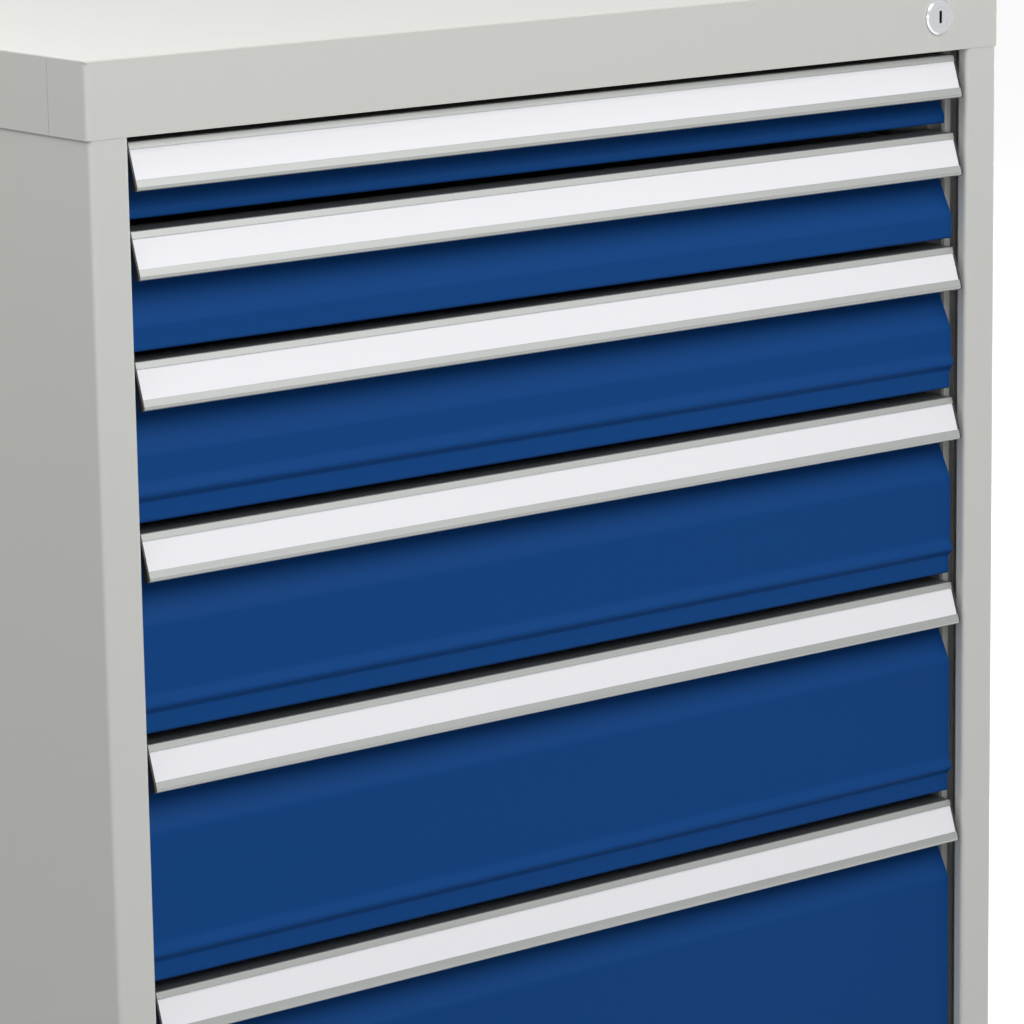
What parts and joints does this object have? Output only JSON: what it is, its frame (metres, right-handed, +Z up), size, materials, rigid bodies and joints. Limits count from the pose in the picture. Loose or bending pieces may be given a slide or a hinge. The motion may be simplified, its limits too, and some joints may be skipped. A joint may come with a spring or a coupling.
{
  "type": "drawer cabinet",
  "caption": "Free-standing steel drawer cabinet with graduated profiled fronts, full-width label handles, full-extension roller runners and a turning lock that lifts a locking bar.",
  "frame": {"origin": "middle of the cabinet's footprint, on the floor", "axes": "+X to the right seen from the front, +Y from the front to the back, +Z up; drawers open towards -Y"},
  "size_m": [0.705, 0.7378, 0.8195],
  "materials": {
    "case_paint": "fine-textured light grey powder coat",
    "front_paint": "gentian blue powder coat, satin",
    "tray_paint": "smooth light grey powder coat",
    "handle_alloy": "fine extrusion lines, anodised natural",
    "label_card": "plain white card, bare",
    "cap_plastic": "black moulded end caps",
    "zinc_steel": "bright zinc plated strip",
    "roller_steel": "ground steel rollers",
    "lock_chrome": "satin chrome plated"
  },
  "bodies": {
    "case": {"side_panel_left": "case_paint", "side_panel_right": "case_paint", "back_panel": "case_paint", "base_pan": "case_paint", "top_fascia": "case_paint", "top_cover": "case_paint", "runner_uprights": "case_paint", "case_rails": "zinc_steel", "back_rivets": "zinc_steel", "lock_housing": "lock_chrome"},
    "lock_plug": {"lock_plug": "lock_chrome"},
    "lock_bar": {"lock_bar": "case_paint"},
    "drawer_1": {"drawer_1_front": "front_paint", "drawer_1_tray": "tray_paint", "drawer_1_handle": "handle_alloy", "drawer_1_label": "label_card", "drawer_1_handle_caps": "cap_plastic", "drawer_1_rails": "zinc_steel"},
    "carriage_1": {"carriage_1_bars": "zinc_steel", "carriage_1_rollers": "roller_steel"},
    "drawer_2": {"drawer_2_front": "front_paint", "drawer_2_tray": "tray_paint", "drawer_2_handle": "handle_alloy", "drawer_2_label": "label_card", "drawer_2_handle_caps": "cap_plastic", "drawer_2_rails": "zinc_steel"},
    "carriage_2": {"carriage_2_bars": "zinc_steel", "carriage_2_rollers": "roller_steel"},
    "drawer_3": {"drawer_3_front": "front_paint", "drawer_3_tray": "tray_paint", "drawer_3_handle": "handle_alloy", "drawer_3_label": "label_card", "drawer_3_handle_caps": "cap_plastic", "drawer_3_rails": "zinc_steel"},
    "carriage_3": {"carriage_3_bars": "zinc_steel", "carriage_3_rollers": "roller_steel"},
    "drawer_4": {"drawer_4_front": "front_paint", "drawer_4_tray": "tray_paint", "drawer_4_handle": "handle_alloy", "drawer_4_label": "label_card", "drawer_4_handle_caps": "cap_plastic", "drawer_4_rails": "zinc_steel"},
    "carriage_4": {"carriage_4_bars": "zinc_steel", "carriage_4_rollers": "roller_steel"},
    "drawer_5": {"drawer_5_front": "front_paint", "drawer_5_tray": "tray_paint", "drawer_5_handle": "handle_alloy", "drawer_5_label": "label_card", "drawer_5_handle_caps": "cap_plastic", "drawer_5_rails": "zinc_steel"},
    "carriage_5": {"carriage_5_bars": "zinc_steel", "carriage_5_rollers": "roller_steel"},
    "drawer_6": {"drawer_6_front": "front_paint", "drawer_6_tray": "tray_paint", "drawer_6_handle": "handle_alloy", "drawer_6_label": "label_card", "drawer_6_handle_caps": "cap_plastic", "drawer_6_rails": "zinc_steel"},
    "carriage_6": {"carriage_6_bars": "zinc_steel", "carriage_6_rollers": "roller_steel"}
  },
  "joints": [
    {"name": "drawer_1_slide", "type": "slide", "parent": "case", "child": "drawer_1", "axis": [0, -1, 0], "range_m": [0, 0.59]},
    {"name": "carriage_1_slide", "type": "slide", "parent": "case", "child": "carriage_1", "axis": [0, -1, 0], "range_m": [0, 0.295]},
    {"name": "drawer_2_slide", "type": "slide", "parent": "case", "child": "drawer_2", "axis": [0, -1, 0], "range_m": [0, 0.59]},
    {"name": "carriage_2_slide", "type": "slide", "parent": "case", "child": "carriage_2", "axis": [0, -1, 0], "range_m": [0, 0.295]},
    {"name": "drawer_3_slide", "type": "slide", "parent": "case", "child": "drawer_3", "axis": [0, -1, 0], "range_m": [0, 0.59]},
    {"name": "carriage_3_slide", "type": "slide", "parent": "case", "child": "carriage_3", "axis": [0, -1, 0], "range_m": [0, 0.295]},
    {"name": "drawer_4_slide", "type": "slide", "parent": "case", "child": "drawer_4", "axis": [0, -1, 0], "range_m": [0, 0.59]},
    {"name": "carriage_4_slide", "type": "slide", "parent": "case", "child": "carriage_4", "axis": [0, -1, 0], "range_m": [0, 0.295]},
    {"name": "drawer_5_slide", "type": "slide", "parent": "case", "child": "drawer_5", "axis": [0, -1, 0], "range_m": [0, 0.59]},
    {"name": "carriage_5_slide", "type": "slide", "parent": "case", "child": "carriage_5", "axis": [0, -1, 0], "range_m": [0, 0.295]},
    {"name": "drawer_6_slide", "type": "slide", "parent": "case", "child": "drawer_6", "axis": [0, -1, 0], "range_m": [0, 0.59]},
    {"name": "carriage_6_slide", "type": "slide", "parent": "case", "child": "carriage_6", "axis": [0, -1, 0], "range_m": [0, 0.295]},
    {"name": "lock_turn", "type": "hinge", "parent": "case", "child": "lock_plug", "pos_m": [0.2985, -0.3666, 0.797], "axis": [0, -1, 0], "range_deg": [0, 90]},
    {"name": "lock_bar_lift", "type": "slide", "parent": "case", "child": "lock_bar", "axis": [0, 0, 1], "range_m": [0, 0.01273]}
  ],
  "couplings": [
    {"joint": "carriage_1_slide", "follows": "drawer_1_slide", "ratio": 0.5},
    {"joint": "carriage_2_slide", "follows": "drawer_2_slide", "ratio": 0.5},
    {"joint": "carriage_3_slide", "follows": "drawer_3_slide", "ratio": 0.5},
    {"joint": "carriage_4_slide", "follows": "drawer_4_slide", "ratio": 0.5},
    {"joint": "carriage_5_slide", "follows": "drawer_5_slide", "ratio": 0.5},
    {"joint": "carriage_6_slide", "follows": "drawer_6_slide", "ratio": 0.5},
    {"joint": "lock_turn", "follows": "lock_bar_lift", "rad_per_m": 123.41}
  ]
}
